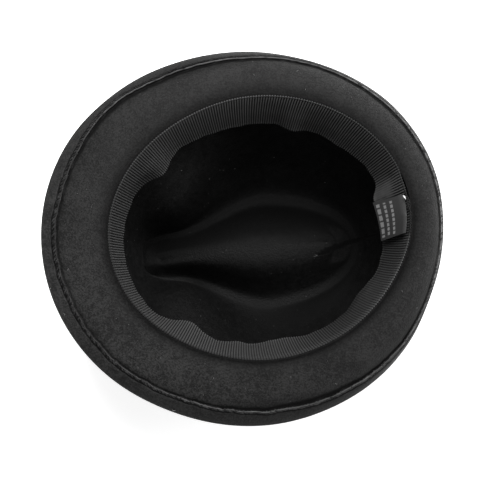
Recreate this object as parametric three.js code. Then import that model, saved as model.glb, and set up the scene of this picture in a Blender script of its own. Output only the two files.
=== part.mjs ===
// A short-brimmed felt fedora, in millimetres. It lies on its crown, as a hat does that is put down with care:
// +Z is up, the top of the crown touches the floor at Z = 0, the hollow opens upwards and the brim is above.
// The hat's front points to -X and the wearer's left to +Y.
import * as THREE from 'three';
import { mergeVertices } from 'three/addons/utils/BufferGeometryUtils.js';

// Materials' thickness, and the gap between two pieces that touch.
const FELT = 2;
const RIBBON = 1;
const LABEL_CLOTH = 0.8;
const GAP = 0.3;

// The head opening is an oval along the inner face of the sweatband's sewn edge. The felt has gone a little out of
// shape, so the table has its true reach as a share of the plain oval, at even steps round the hat from the back.
const HEAD = { halfLength: 96, halfWidth: 84.5 };
const HEAD_SHAPE = [
  { at: 0, reach: 1.005 },
  { at: 30, reach: 1.018 },
  { at: 60, reach: 1.015 },
  { at: 90, reach: 1.002 },
  { at: 120, reach: 0.976 },
  { at: 150, reach: 0.984 },
  { at: 180, reach: 1.007 },
  { at: 210, reach: 1.017 },
  { at: 240, reach: 1.006 },
  { at: 270, reach: 1.01 },
  { at: 300, reach: 0.99 },
  { at: 330, reach: 0.975 },
];

// From the floor to the brim's underside at the head opening, and where crown and brim meet below that.
const CROWN_HEIGHT = 107;
const BRIM_COLLAR = 8;

// The brim's width along the felt and its slope at the edge in degrees, at even steps round the hat from the back.
// It dips at the front and turns up at the back.
const BRIM = [
  { at: 0, width: 36.5, slope: 101 },
  { at: 45, width: 40.3, slope: 83 },
  { at: 90, width: 44.3, slope: 63 },
  { at: 135, width: 50.5, slope: 41 },
  { at: 180, width: 46.8, slope: 25 },
  { at: 225, width: 45.9, slope: 32 },
  { at: 270, width: 46, slope: 54 },
  { at: 315, width: 46.6, slope: 91 },
];
const FIRST_SLOPE = 3;
const CURL = 1.19;
const CORNER = 1.5;

// The brim's edge is folded back over its underside and stitched down there.
const FOLD = { width: 12.6, thickness: 1.6 };

// The band of straight wall under the ribbons, and how far it leans in over its height.
const BAND_ZONE = { height: 33, lean: 2.2 };

// The crest is the closed ridge around the dent in the crown's top. Its neck is narrow and its end square at the
// front, and its body is wide and round at the back.
const CREST = {
  front: -83.5,
  back: 69.5,
  neck: 17,
  body: 40.5,
  widensFrom: -62,
  widensTo: 8,
  frontSquareness: 4,
  backSquareness: 2.1,
  lift: FELT,
};
const SPINE = { centre: -12, halfLength: 58, offset: -1, skew: 0.035 };
const DENT = { depth: 22, deepestAt: 2, fadesOver: 88 };

// Two hollows pinched into the crown's front, one on each side, by their place round the crown in degrees.
const PINCH = { at: 127, spread: 17, strength: 0.95 };

// The crown's wall below the band. `down` is the share of the way down to the crest. The other two are the share
// of the way out from the crest that is left there, on the plain dome and in the middle of a pinch.
const WALL_ROWS = [
  { down: 0.14, dome: 0.965, pinched: 0.93 },
  { down: 0.3, dome: 0.887, pinched: 0.74 },
  { down: 0.46, dome: 0.779, pinched: 0.47 },
  { down: 0.62, dome: 0.64, pinched: 0.25 },
  { down: 0.77, dome: 0.472, pinched: 0.14 },
  { down: 0.89, dome: 0.295, pinched: 0.08 },
  { down: 0.965, dome: 0.15, pinched: 0.055 },
  { down: 1, dome: 0.035, pinched: 0.035 },
];

// The dent in the crown's top. `out` is the share of the way out from the spine to the crest, and `rise` the share
// of the dent's depth.
const DENT_ROWS = [
  { out: 1, rise: 0 },
  { out: 0.9, rise: 0 },
  { out: 0.79, rise: 0.08 },
  { out: 0.63, rise: 0.36 },
  { out: 0.47, rise: 0.7 },
  { out: 0.32, rise: 0.91 },
  { out: 0.15, rise: 0.985 },
  { out: 0, rise: 1 },
];

// The sweatband is a ribbon sewn in along one edge. Its free edge leans inwards and bulges in a few places.
const SWEATBAND = { width: 30, stands: 0.6, leanFront: 5.8, leanBack: 10.4 };
const BULGES = [
  { at: 13, reach: 6.5, spread: 5 },
  { at: 26, reach: 0.8, spread: 8 },
  { at: 49, reach: 2, spread: 8 },
  { at: 72, reach: 4, spread: 4 },
  { at: 139, reach: 8, spread: 6 },
  { at: 234, reach: 7.2, spread: 6.5 },
  { at: 256, reach: 1.8, spread: 4 },
  { at: 275, reach: 3.2, spread: 7 },
  { at: 320, reach: 2.4, spread: 6 },
  { at: 352, reach: 3.4, spread: 8 },
];

// The sweatband's end laps over its start at the back. A folded label is sewn in beside the lap's end, and stands
// off the band at a slant.
const LAP = { from: 3, to: 21.5 };
const LABEL = { from: -7.9, to: 9.6, length: 25, slant: 45, below: 1.2, clear: 0.8 };

// The ribbon round the outside of the crown, with its ends lapped on the wearer's left.
const HAT_BAND = { width: 28, below: 2.8, lapFrom: 84, lapTo: 101, gap: 0.5 };

const COLUMNS = 72;
const BRIM_COLUMNS = 84;
const SWEATBAND_COLUMNS = 108;

const radians = THREE.MathUtils.degToRad;
const smoothstep = THREE.MathUtils.smoothstep;
const lerp = THREE.MathUtils.lerp;

// A column of a table that goes round the hat in even steps, at any angle, on a smooth curve through its rows.
function tableAt(table, column, angle) {
  const rows = table.length;
  const place = THREE.MathUtils.euclideanModulo((angle / (2 * Math.PI)) * rows, rows);
  const row = Math.floor(place);
  const t = place - row;
  const [before, from, to, after] = [-1, 0, 1, 2].map((step) => table[(row + step + rows) % rows][column]);
  const slopeIn = (to - before) / 2;
  const slopeOut = (after - from) / 2;
  const bend = 3 * (to - from) - 2 * slopeIn - slopeOut;
  const twist = slopeIn + slopeOut - 2 * (to - from);
  return from + t * (slopeIn + t * (bend + t * twist));
}

// A point of the head oval. The angle 0 is the back and 90 degrees the wearer's left.
function headOval(angle) {
  const reach = tableAt(HEAD_SHAPE, 'reach', angle);
  return new THREE.Vector3(
    HEAD.halfLength * Math.cos(angle) * reach,
    HEAD.halfWidth * Math.sin(angle) * reach,
    0,
  );
}

// The direction straight out from the head oval, level with the floor.
function outward(angle) {
  const step = 0.02;
  const along = headOval(angle + step).sub(headOval(angle - step));
  return new THREE.Vector3(along.y, -along.x, 0).normalize();
}

// The point `out` millimetres outside the head oval and at height `z`.
function besideOval(angle, out, z) {
  return headOval(angle).addScaledVector(outward(angle), out).setZ(z);
}

// The angle between two directions, in degrees, from -180 to 180.
function turnFrom(angle, degrees) {
  const turn = THREE.MathUtils.radToDeg(angle) - degrees;
  return THREE.MathUtils.euclideanModulo(turn + 180, 360) - 180;
}

// A bell-shaped weight round a place on the hat, 1 in its middle.
function bell(angle, degrees, spread) {
  return Math.exp(-0.5 * (turnFrom(angle, degrees) / spread) ** 2);
}

function evenAngles(count) {
  return Array.from({ length: count }, (_, i) => (i / count) * 2 * Math.PI);
}

// Angles with a close pair at each place where a ribbon's end makes a step.
function anglesWithSteps(count, stepsAt) {
  const half = radians(0.12);
  const steps = stepsAt.map((degrees) => THREE.MathUtils.euclideanModulo(radians(degrees), 2 * Math.PI));
  const clear = radians(180 / count);
  const kept = evenAngles(count).filter((angle) =>
    steps.every((step) => Math.abs(turnFrom(angle, THREE.MathUtils.radToDeg(step))) > THREE.MathUtils.radToDeg(clear)),
  );
  return [...kept, ...steps.flatMap((step) => [step - half, step + half])].sort((a, b) => a - b);
}

// A closed body from a list of sections, one for each angle round the hat. A section's points run up its outer
// face and down its inner one, and each is joined to the same point of the next section. `ring` joins the last
// section to the first, and `loop` the last point of each section to its first.
function bodyFrom(sections, { ring, loop }) {
  const rows = sections[0].length;
  const positions = sections.flat().flatMap((point) => point.toArray());
  const indices = [];
  for (let s = 0; s < sections.length - (ring ? 0 : 1); s++) {
    const next = (s + 1) % sections.length;
    for (let r = 0; r < rows - (loop ? 0 : 1); r++) {
      const up = (r + 1) % rows;
      const [a, b, c, d] = [s * rows + r, next * rows + r, next * rows + up, s * rows + up];
      indices.push(a, b, c, a, c, d);
    }
  }
  if (!ring) {
    const last = (sections.length - 1) * rows;
    for (let r = 1; r < rows - 1; r++) {
      indices.push(0, r, r + 1, last, last + r + 1, last + r);
    }
  }
  const geometry = new THREE.BufferGeometry();
  geometry.setAttribute('position', new THREE.Float32BufferAttribute(positions, 3));
  geometry.setIndex(indices);
  const merged = mergeVertices(geometry, 1e-3);
  merged.computeVertexNormals();
  return merged;
}

// How strongly the crown is pinched at an angle.
function pinchAt(angle) {
  return PINCH.strength * (bell(angle, PINCH.at, PINCH.spread) + bell(angle, -PINCH.at, PINCH.spread));
}

// The line that the crest follows, seen from above.
function crestPoint(angle) {
  const middle = (CREST.front + CREST.back) / 2;
  const share = Math.cos(angle);
  const x = middle + ((CREST.back - CREST.front) / 2) * share;
  const halfWidth = lerp(CREST.neck, CREST.body, smoothstep(x, CREST.widensFrom, CREST.widensTo));
  const squareness = share < 0 ? CREST.frontSquareness : CREST.backSquareness;
  const side = (1 - Math.abs(share) ** squareness) ** (1 / squareness);
  return new THREE.Vector3(x, halfWidth * side * Math.sign(Math.sin(angle)), CREST.lift);
}

// The line along the middle of the dent, as high as the dent is deep.
function spinePoint(angle) {
  const x = SPINE.centre + SPINE.halfLength * Math.cos(angle);
  const depth = DENT.depth * (1 - ((x - DENT.deepestAt) / DENT.fadesOver) ** 2);
  return new THREE.Vector3(x, SPINE.offset + SPINE.skew * x, CREST.lift + depth);
}

// The felt's inner face at an angle, from the crown's cut edge down the wall, over the crest and up to the spine.
function crownInside(angle) {
  const wallOut = RIBBON + GAP;
  const bandTop = CROWN_HEIGHT - BRIM_COLLAR;
  const bandFoot = CROWN_HEIGHT - BAND_ZONE.height;
  const crest = crestPoint(angle);
  const spine = spinePoint(angle);
  const foot = besideOval(angle, wallOut - BAND_ZONE.lean, bandFoot);
  const bandRows = [0, 0.5, 1].map((share) =>
    besideOval(angle, wallOut - BAND_ZONE.lean * share, lerp(bandTop, bandFoot, share)),
  );
  const wallRows = WALL_ROWS.map(({ down, dome, pinched }) => {
    const left = lerp(dome, pinched, pinchAt(angle));
    return crest.clone().lerp(foot, left).setZ(lerp(bandFoot, CREST.lift, down));
  });
  const dentRows = DENT_ROWS.map(({ out, rise }) =>
    spine.clone().lerp(crest, out).setZ(lerp(crest.z, spine.z, rise)),
  );
  return [...bandRows, ...wallRows, ...dentRows];
}

// The felt's outer face, one thickness away from the inner one. The crest is pressed flat where it rests.
function crownOutside(inside) {
  const columns = inside.length;
  const rows = inside[0].length;
  const spineRow = rows - 1;
  return inside.map((section, c) =>
    section.map((point, r) => {
      if (r === spineRow) return point.clone().setZ(point.z - FELT);
      const around = inside[(c + 1) % columns][r].clone().sub(inside[(c + columns - 1) % columns][r]);
      const along = section[r + 1].clone().sub(section[Math.max(r - 1, 0)]);
      const outer = point.clone().addScaledVector(along.cross(around).normalize(), FELT);
      return r === 0 ? outer.setZ(point.z) : outer.setZ(point.z === CREST.lift ? 0 : Math.max(outer.z, 0));
    }),
  );
}

function makeCrown() {
  const inside = evenAngles(COLUMNS).map(crownInside);
  const outside = crownOutside(inside);
  const sections = inside.map((section, c) => [...outside[c].toReversed(), ...section]);
  return bodyFrom(sections, { ring: true, loop: false });
}

// The brim's underside at an angle: a point `along` millimetres out over the felt from the head oval, and the
// direction away from the felt there.
function brimUnderside(angle, along) {
  const width = tableAt(BRIM, 'width', angle);
  const edge = radians(tableAt(BRIM, 'slope', angle));
  const slopeAt = (s) => lerp(radians(FIRST_SLOPE), edge, Math.max(s / width, 0) ** CURL);
  const steps = 40;
  let out = 0;
  let drop = 0;
  for (let i = 0; i < steps; i++) {
    const slope = slopeAt(((i + 0.5) / steps) * along);
    out += (Math.cos(slope) * along) / steps;
    drop += (Math.sin(slope) * along) / steps;
  }
  const slope = slopeAt(along);
  const away = outward(angle).multiplyScalar(Math.sin(slope)).setZ(Math.cos(slope));
  return { point: besideOval(angle, out, CROWN_HEIGHT - drop), away };
}

// The point `height` millimetres above the brim's underside.
function onBrim(angle, along, height) {
  const { point, away } = brimUnderside(angle, along);
  return point.addScaledVector(away, height);
}

// The brim's section: up the collar's outside, out along the upper side, over the folded edge, back in along the
// underside and down the collar's inside. The upper side of the brim faces the floor here.
function brimSection(angle) {
  const wallIn = RIBBON + GAP;
  const wallOut = wallIn + FELT;
  const foot = CROWN_HEIGHT - BRIM_COLLAR + GAP;
  const width = tableAt(BRIM, 'width', angle);
  const foldEdge = width - FOLD.width;
  const flat = wallIn + CORNER;
  const plain = [0.3, 0.65].map((share) => lerp(flat, foldEdge, share));
  const folded = [0, 0.5, 0.85].map((share) => lerp(foldEdge, width - 1, share));
  return [
    besideOval(angle, wallOut, foot),
    onBrim(angle, wallOut + 0.1, -FELT),
    ...plain.map((along) => onBrim(angle, along, -FELT)),
    ...folded.map((along) => onBrim(angle, along - 0.2, -FELT)),
    onBrim(angle, width - 0.5, -FELT * 0.9),
    onBrim(angle, width, -FELT * 0.4),
    onBrim(angle, width, FOLD.thickness * 0.15),
    onBrim(angle, width - 0.4, FOLD.thickness * 0.75),
    ...folded.toReversed().map((along) => onBrim(angle, along, FOLD.thickness)),
    onBrim(angle, foldEdge, 0),
    ...plain.toReversed().map((along) => onBrim(angle, along, 0)),
    onBrim(angle, flat, 0),
    besideOval(angle, wallIn + 0.3 * CORNER, CROWN_HEIGHT - 0.3 * CORNER),
    besideOval(angle, wallIn, CROWN_HEIGHT - CORNER),
    besideOval(angle, wallIn, foot),
  ];
}

function makeBrim() {
  return bodyFrom(evenAngles(BRIM_COLUMNS).map(brimSection), { ring: true, loop: true });
}

// How far the sweatband's free edge leans in from its sewn edge.
function sweatbandLean(angle) {
  const back = smoothstep(Math.cos(angle), -0.85, -0.1);
  const bulge = BULGES.reduce((sum, { at, reach, spread }) => sum + reach * bell(angle, at, spread), 0);
  return lerp(SWEATBAND.leanFront, SWEATBAND.leanBack, back) + bulge;
}

// A point of the sweatband's inner face, `down` millimetres from its sewn edge, moved `inward` from that face.
function onSweatband(angle, down, inward) {
  const lean = sweatbandLean(angle);
  const share = down / SWEATBAND.width;
  const leant = lean * Math.sign(share) * Math.abs(share) ** 1.4;
  const fall = down * Math.sqrt(1 - (lean / SWEATBAND.width) ** 2 * Math.abs(share) ** 0.8);
  return besideOval(angle, -leant - inward, CROWN_HEIGHT + SWEATBAND.stands - fall);
}

// The sweatband's section. In the lap the ribbon is there twice.
function sweatbandSection(angle) {
  const inLap = turnFrom(angle, LAP.from) > 0 && turnFrom(angle, LAP.to) < 0;
  const inner = inLap ? RIBBON : 0;
  const rows = [0, 0.3, 0.65, 1].map((share) => share * SWEATBAND.width);
  return [
    ...rows.toReversed().map((down) => onSweatband(angle, down, -RIBBON)),
    ...rows.map((down) => onSweatband(angle, down, inner)),
  ];
}

function makeSweatband() {
  const angles = anglesWithSteps(SWEATBAND_COLUMNS, [LAP.from, LAP.to]);
  return bodyFrom(angles.map(sweatbandSection), { ring: true, loop: true });
}

// The label is a short loop of cloth with straight sides. It hangs from the sewn edge over the sweatband's lap.
function makeLabel() {
  const middle = radians((LABEL.from + LABEL.to) / 2);
  const slant = radians(LABEL.slant);
  const down = outward(middle).multiplyScalar(-Math.cos(slant)).setZ(-Math.sin(slant));
  const away = outward(middle).multiplyScalar(-Math.sin(slant)).setZ(Math.cos(slant));
  const point = (angle, along, height) =>
    besideOval(angle, -RIBBON - LABEL.clear, CROWN_HEIGHT - LABEL.below)
      .addScaledVector(down, along)
      .addScaledVector(away, height);
  const steps = 6;
  const angles = Array.from({ length: steps + 1 }, (_, i) => radians(lerp(LABEL.from, LABEL.to, i / steps)));
  const lengths = [0, 0.33, 0.67, 1].map((share) => share * LABEL.length);
  const sections = angles.map((angle) => [
    ...lengths.toReversed().map((along) => point(angle, along, 0)),
    ...lengths.map((along) => point(angle, along, LABEL_CLOTH)),
  ]);
  return bodyFrom(sections, { ring: false, loop: true });
}

// The hat band's section, against the outside of the crown's straight wall. In the lap the ribbon is there twice.
function hatBandSection(angle) {
  const inLap = turnFrom(angle, HAT_BAND.lapFrom) > 0 && turnFrom(angle, HAT_BAND.lapTo) < 0;
  const layers = inLap ? 2 : 1;
  const feltOut = RIBBON + GAP + FELT;
  const bandTop = CROWN_HEIGHT - BRIM_COLLAR;
  const bandFoot = CROWN_HEIGHT - BAND_ZONE.height;
  const rows = [0, 0.5, 1].map((share) => CROWN_HEIGHT - HAT_BAND.below - HAT_BAND.width * share);
  const lean = (z) => BAND_ZONE.lean * THREE.MathUtils.clamp((bandTop - z) / (bandTop - bandFoot), 0, 1);
  const face = (z) => feltOut + HAT_BAND.gap - lean(z);
  return [
    ...rows.toReversed().map((z) => besideOval(angle, face(z) + RIBBON * layers, z)),
    ...rows.map((z) => besideOval(angle, face(z), z)),
  ];
}

function makeHatBand() {
  const angles = anglesWithSteps(COLUMNS, [HAT_BAND.lapFrom, HAT_BAND.lapTo]);
  return bodyFrom(angles.map(hatBandSection), { ring: true, loop: true });
}

const feltMaterial = new THREE.MeshStandardMaterial({ color: 0x1c1c1d, roughness: 0.95, metalness: 0 });
const sweatbandMaterial = new THREE.MeshStandardMaterial({ color: 0x262626, roughness: 0.7, metalness: 0 });
const hatBandMaterial = new THREE.MeshStandardMaterial({ color: 0x151515, roughness: 0.6, metalness: 0 });
const labelMaterial = new THREE.MeshStandardMaterial({ color: 0x202022, roughness: 0.45, metalness: 0 });

function piece(name, geometry, material) {
  const mesh = new THREE.Mesh(geometry, material);
  mesh.name = name;
  return mesh;
}

const hat = new THREE.Group();
hat.add(
  piece('crown', makeCrown(), feltMaterial),
  piece('brim', makeBrim(), feltMaterial),
  piece('sweatband', makeSweatband(), sweatbandMaterial),
  piece('label', makeLabel(), labelMaterial),
  piece('hat_band', makeHatBand(), hatBandMaterial),
);

// The origin is on the floor, under the middle of the brim's outline.
const box = new THREE.Box3().setFromObject(hat);
const middle = box.getCenter(new THREE.Vector3());
hat.position.set(-middle.x, -middle.y, -box.min.z);

export default hat;
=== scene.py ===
"""A black felt fedora that lies on its crown, seen from above into the hollow.

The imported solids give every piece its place. Each class below is one piece of the hat. It holds its sizes in
metres, models its mesh from a blank that is pressed to the hat's shape, and dresses it in its finish.
"""

import logging
import math
from dataclasses import dataclass, field
from enum import Enum

import bpy
import numpy as np
from mathutils import Matrix, Vector


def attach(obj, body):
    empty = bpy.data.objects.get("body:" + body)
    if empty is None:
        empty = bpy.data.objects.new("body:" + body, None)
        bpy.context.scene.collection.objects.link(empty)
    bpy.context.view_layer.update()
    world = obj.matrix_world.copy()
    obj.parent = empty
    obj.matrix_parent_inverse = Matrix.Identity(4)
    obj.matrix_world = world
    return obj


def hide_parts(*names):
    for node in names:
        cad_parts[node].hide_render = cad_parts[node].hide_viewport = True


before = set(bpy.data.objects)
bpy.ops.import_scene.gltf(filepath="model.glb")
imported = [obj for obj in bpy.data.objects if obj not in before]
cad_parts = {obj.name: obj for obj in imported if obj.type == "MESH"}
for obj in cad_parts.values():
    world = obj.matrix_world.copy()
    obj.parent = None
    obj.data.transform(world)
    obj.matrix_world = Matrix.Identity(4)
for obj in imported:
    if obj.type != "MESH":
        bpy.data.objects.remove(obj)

log = logging.getLogger("fedora")
Points = np.ndarray
Table = tuple[float, ...]
Tables = tuple[Table, ...]
Waves = tuple[tuple[int, float, float], ...]
Patches = tuple[tuple[object, ...], ...]
CURVE_STEPS = 40


class Slot(Enum):
    """The record's material slots."""

    CROWN = "felt"
    BRIM = "brim_felt"
    SWEATBAND = "sweatband_ribbon"
    LABEL = "label_cloth"
    HAT_BAND = "hat_band_ribbon"


# Curves and fields that the shapes are worked out from.


def millimetres(*sizes: float) -> Table:
    """Sizes in millimetres, in metres."""
    return tuple(0.001 * size for size in sizes)


def smooth_curve(share: Points, before: Points, start: Points, end: Points, after: Points) -> Points:
    """A point on a curve that takes its slopes from the points around it.

    Args:
        share: How far it is from start to end.
        before: The point before start.
        start: The point that it comes from.
        end: The point that it goes to.
        after: The point after end.

    Returns:
        The point.
    """
    slope_in, slope_out = (end - before) / 2, (after - start) / 2
    bend = 3 * (end - start) - 2 * slope_in - slope_out
    twist = slope_in + slope_out - 2 * (end - start)
    return start + share * (slope_in + share * (bend + share * twist))


def around(table: Table, angle: Points) -> Points:
    """Reads a size that is given at even steps round the hat.

    Args:
        table: The size at each step, from the back.
        angle: Angles in radians, with 0 at the back.

    Returns:
        The size at each angle, on a smooth curve through the steps.
    """
    count = len(table)
    place = (np.asarray(angle) / (2 * math.pi) * count) % count
    step = np.floor(place).astype(int)
    return smooth_curve(place - step, *(np.asarray(table)[(step + k) % count] for k in (-1, 0, 1, 2)))


def ease(value: Points, low: float, high: float) -> Points:
    """A smooth step from 0 at low to 1 at high."""
    t = np.clip((np.asarray(value) - low) / (high - low), 0, 1)
    return t * t * (3 - 2 * t)


def bell(angle: Points, degrees: float, spread: float) -> Points:
    """A bell-shaped weight, 1 at a place round the hat, with its spread in degrees."""
    turn = (np.degrees(angle) - degrees + 180) % 360 - 180
    return np.exp(-0.5 * (turn / spread) ** 2)


def patches(angle: Points, table: Patches, along: Points = 0.0) -> Points:
    """A sum of bell-shaped patches on the hat.

    Args:
        angle: Angles in radians.
        table: For each patch its weight, its place and its spread in degrees. It may also give the places along the
            section between which the patch sets in, or None, and then those between which it fades out.
        along: Places along the section.

    Returns:
        The sum at each point.
    """
    total = 0.0
    for weight, degrees, spread, *limits in table:
        patch = weight * bell(angle, degrees, spread)
        if limits and limits[0]:
            patch = patch * ease(along, *limits[0])
        if limits[1:]:
            patch = patch * (1 - ease(along, *limits[1]))
        total = total + patch
    return total


def ripple(angle: Points, waves: Waves) -> Points:
    """A sum of waves round the hat.

    Args:
        angle: Angles in radians.
        waves: How many waves go round, how high they are and where they start.

    Returns:
        The height at each angle.
    """
    return sum(high * np.sin(count * np.asarray(angle) + start) for count, high, start in waves)


def finer(rows: Points, parts: int) -> Points:
    """Puts more rows between the rows of a section, on smooth curves.

    Args:
        rows: Points as an array of rows by columns by three.
        parts: How many parts each step is cut into.

    Returns:
        The finer array of rows.
    """
    last = len(rows) - 1
    place = np.linspace(0, last, last * parts + 1)
    step = np.minimum(place.astype(int), last - 1)
    share = (place - step)[:, None, None]
    return smooth_curve(share, *(rows[np.clip(step + k, 0, last)] for k in (-1, 0, 1, 2)))


def lengths(line: Points) -> Points:
    """The length along a line, up to each of its points."""
    return np.concatenate([[0], np.cumsum(np.linalg.norm(np.diff(line, axis=0), axis=1))])


def even_angles(columns: int) -> Points:
    """Angles in radians at even steps round the hat."""
    return np.arange(columns) / columns * 2 * math.pi


def nearest_column(angle: Points, columns: int) -> Points:
    """Which of the even steps round the hat each angle is at."""
    return np.rint(angle / (2 * math.pi) * columns).astype(int) % columns


@dataclass(frozen=True)
class HeadOval:
    """The oval head opening, along the inner face of the sweatband's sewn edge."""

    centre: tuple[float, float] = (0.01061, 0.00201)
    half_length: float = 0.096
    half_width: float = 0.0845
    reach: Table = (1.005, 1.018, 1.015, 1.002, 0.976, 0.984, 1.007, 1.017, 1.006, 1.01, 0.99, 0.975)
    height: float = 0.107

    def line(self, angle: Points) -> Points:
        """Points of the oval on the floor.

        Args:
            angle: Angles in radians.

        Returns:
            The points.
        """
        reach = around(self.reach, angle)
        x = self.centre[0] + self.half_length * np.cos(angle) * reach
        y = self.centre[1] + self.half_width * np.sin(angle) * reach
        return np.stack([x, y, np.zeros_like(x)], -1)

    def outward(self, angle: Points) -> Points:
        """Directions straight out from the oval, level with the floor.

        Args:
            angle: Angles in radians.

        Returns:
            The direction at each angle.
        """
        step = 0.02
        along = self.line(angle + step) - self.line(angle - step)
        out = np.stack([along[..., 1], -along[..., 0], 0 * along[..., 0]], -1)
        return out / np.linalg.norm(out, axis=-1, keepdims=True)

    def beside(self, angle: Points, out: Points, height: Points) -> Points:
        """Points beside the oval.

        Args:
            angle: Angles in radians.
            out: How far outside the oval.
            height: Height above the floor.

        Returns:
            The points.
        """
        angle, out, height = np.broadcast_arrays(angle, out, height)
        points = self.line(angle) + self.outward(angle) * out[..., None]
        points[..., 2] = height
        return points

    def length_to(self, angle: Points) -> Points:
        """The length along the oval from the back.

        Args:
            angle: Angles in radians.

        Returns:
            The length up to each angle.
        """
        fine = np.linspace(-0.5 * math.pi, 3 * math.pi, 4000)
        length = lengths(self.line(fine))
        length -= np.interp(0, fine, length)
        return np.interp(angle, fine, length)


# Shader maths, so that a finish reads as sums and products.

Value = "Wire | float"


@dataclass(frozen=True)
class Wire:
    """A shader socket that can be added, taken away and multiplied."""

    paint: "Paint"
    socket: bpy.types.NodeSocket

    def _maths(self, operation: str, *values: "Value") -> "Wire":
        """Adds a Math node."""
        return self.paint.node("ShaderNodeMath", {"operation": operation}, *values)

    def __add__(self, other: "Value") -> "Wire":
        """This plus a value."""
        return self._maths("ADD", self, other)

    __radd__ = __add__

    def __sub__(self, other: "Value") -> "Wire":
        """This less a value."""
        return self._maths("SUBTRACT", self, other)

    def __rsub__(self, other: "Value") -> "Wire":
        """A value less this."""
        return self._maths("SUBTRACT", other, self)

    def __mul__(self, other: "Value") -> "Wire":
        """This times a value."""
        return self._maths("MULTIPLY", self, other)

    __rmul__ = __mul__

    def least(self, other: "Value") -> "Wire":
        """The smaller of this and a value."""
        return self._maths("MINIMUM", self, other)

    def size(self) -> "Wire":
        """This without its sign."""
        return self._maths("ABSOLUTE", self)

    def wrapped(self) -> "Wire":
        """The part of this past the whole number."""
        return self._maths("FRACT", self)

    def between(self, low: float, high: float) -> "Wire":
        """A smooth step from 0 at low to 1 at high. With low above high it falls."""
        settings = {"interpolation_type": "SMOOTHSTEP"}
        return self.paint.node("ShaderNodeMapRange", settings, self, low, high)


class Paint:
    """A material under its maker's hands."""

    def __init__(self, name: str) -> None:
        """Starts a material with nothing but its shader.

        Args:
            name: The material's name.
        """
        self.material = bpy.data.materials.new(name)
        self.material.use_nodes = True
        self.tree = self.material.node_tree
        self.shader = self.tree.nodes["Principled BSDF"]

    def node(self, kind: str, settings: dict[str, object], *inputs: object, out: int = 0, **named: object) -> Wire:
        """Adds a node.

        Args:
            kind: The node's type.
            settings: Its settings, set before its sockets are filled.
            *inputs: Values or wires for its first sockets, in order. None leaves one as it is.
            out: Which output is handed back.
            **named: Values or wires by socket name, with _ for a space.

        Returns:
            The chosen output.
        """
        node = self.tree.nodes.new(kind)
        for name, value in settings.items():
            setattr(node, name, value)
        live = [socket for socket in node.inputs if socket.enabled]
        pairs = list(zip(live, inputs))
        pairs += [(next(s for s in live if s.name == name.replace("_", " ")), value) for name, value in named.items()]
        for socket, value in pairs:
            self.fill(socket, value)
        return Wire(self, [socket for socket in node.outputs if socket.enabled][out])

    def vector(self, operation: str, *inputs: object, **named: object) -> Wire:
        """Adds a Vector Math node, its values or wires given as for any node."""
        return self.node("ShaderNodeVectorMath", {"operation": operation}, *inputs, **named)

    def fill(self, socket: bpy.types.NodeSocket, value: object) -> None:
        """Fills a socket.

        Args:
            socket: The socket.
            value: A value or a wire. None leaves the socket as it is.
        """
        if isinstance(value, Wire):
            self.tree.links.new(value.socket, socket)
        elif value is not None:
            socket.default_value = value

    def set(self, **values: object) -> None:
        """Fills the shader's sockets by name, with _ for a space."""
        for name, value in values.items():
            self.fill(self.shader.inputs[name.replace("_", " ")], value)

    def place(self) -> Wire:
        """The place on the hat, in metres."""
        return self.node("ShaderNodeTexCoord", {}, out=3)

    def cloth_map(self, name: str) -> Wire:
        """The place on a piece's own cloth map, in metres."""
        return self.node("ShaderNodeUVMap", {"uv_map": name})

    def attribute(self, name: str) -> Wire:
        """A number that the mesh holds at each point."""
        return self.node("ShaderNodeAttribute", {"attribute_name": name}, out=2)

    def noise(self, where: Wire, size: float, detail: float = 3.0, rough: float = 0.55) -> Wire:
        """Soft random values about 0.5, with blotches of about a size in metres."""
        return self.node("ShaderNodeTexNoise", {}, where, Scale=1 / size, Detail=detail, Roughness=rough)

    def specks(self, where: Wire, size: float, apart: float) -> Wire:
        """1 in small scattered specks, else 0, by their size and how far apart they lie."""
        cells = self.node("ShaderNodeTexVoronoi", {"feature": "F1"}, where, Scale=1 / apart)
        return cells.between(size / apart, 0.4 * size / apart)

    def blend(self, share: "Value", first: object, second: object) -> Wire:
        """A colour between two colours.

        Args:
            share: 0 for the first, 1 for the second.
            first: A colour or a wire.
            second: A colour or a wire.

        Returns:
            The colour.
        """
        colour = {"data_type": "RGBA", "blend_type": "MIX"}
        return self.node("ShaderNodeMix", colour, share, first, second)

    def bumps(self, height: Wire, depth: float) -> Wire:
        """A normal for a height from 0 to 1 that stands for a depth in metres."""
        return self.node("ShaderNodeBump", {}, Strength=1.0, Distance=depth, Height=height)


def grey(value: float, warmth: float = 0.0) -> tuple[float, float, float, float]:
    """A near-neutral colour."""
    return (value * (1 + warmth), value, value * (1 - warmth), 1.0)


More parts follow.
